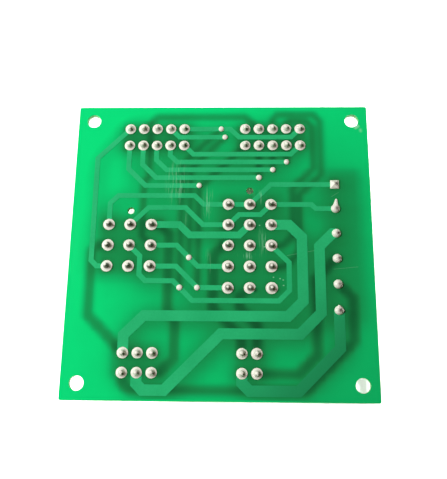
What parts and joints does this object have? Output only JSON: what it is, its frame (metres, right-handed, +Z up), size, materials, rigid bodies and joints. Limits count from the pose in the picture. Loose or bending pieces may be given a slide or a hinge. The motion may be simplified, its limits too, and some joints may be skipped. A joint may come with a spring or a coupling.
{
  "type": "elevator control board",
  "caption": "Square green circuit board with soldered plug-in headers underneath, joining a lift car's wiring, fixed by a hole at each corner.",
  "frame": {"origin": "centre of the board, on the plane that the mouths of the two matrix headers rest on", "axes": "+Z up, out of the solder side; +X towards the board's edge that the right-angle header faces; +Y towards the edge with the two ten-way headers"},
  "size_m": [0.0896, 0.0896, 0.0213],
  "materials": {
    "green_laminate": "glass-epoxy board under green lacquer",
    "lacquered_copper": "copper under green lacquer",
    "natural_nylon": "moulded, satin",
    "green_header": "moulded, satin",
    "tinned_brass": "tin plated",
    "solder": "bright solder"
  },
  "bodies": {
    "root": {"laminate": "green_laminate", "solder_side_tracks": "lacquered_copper", "component_side_tracks": "lacquered_copper", "left_ten_way_housing": "natural_nylon", "left_ten_way_pins": "tinned_brass", "left_ten_way_solder": "solder", "right_ten_way_housing": "natural_nylon", "right_ten_way_pins": "tinned_brass", "right_ten_way_solder": "solder", "nine_way_housing": "natural_nylon", "nine_way_pins": "tinned_brass", "nine_way_solder": "solder", "fifteen_way_housing": "natural_nylon", "fifteen_way_pins": "tinned_brass", "fifteen_way_solder": "solder", "edge_housing": "green_header", "edge_pins": "tinned_brass", "edge_solder": "solder", "six_way_housing": "natural_nylon", "six_way_pins": "tinned_brass", "six_way_solder": "solder", "four_way_housing": "natural_nylon", "four_way_pins": "tinned_brass", "four_way_solder": "solder", "via_solder": "solder"}
  },
  "joints": []
}
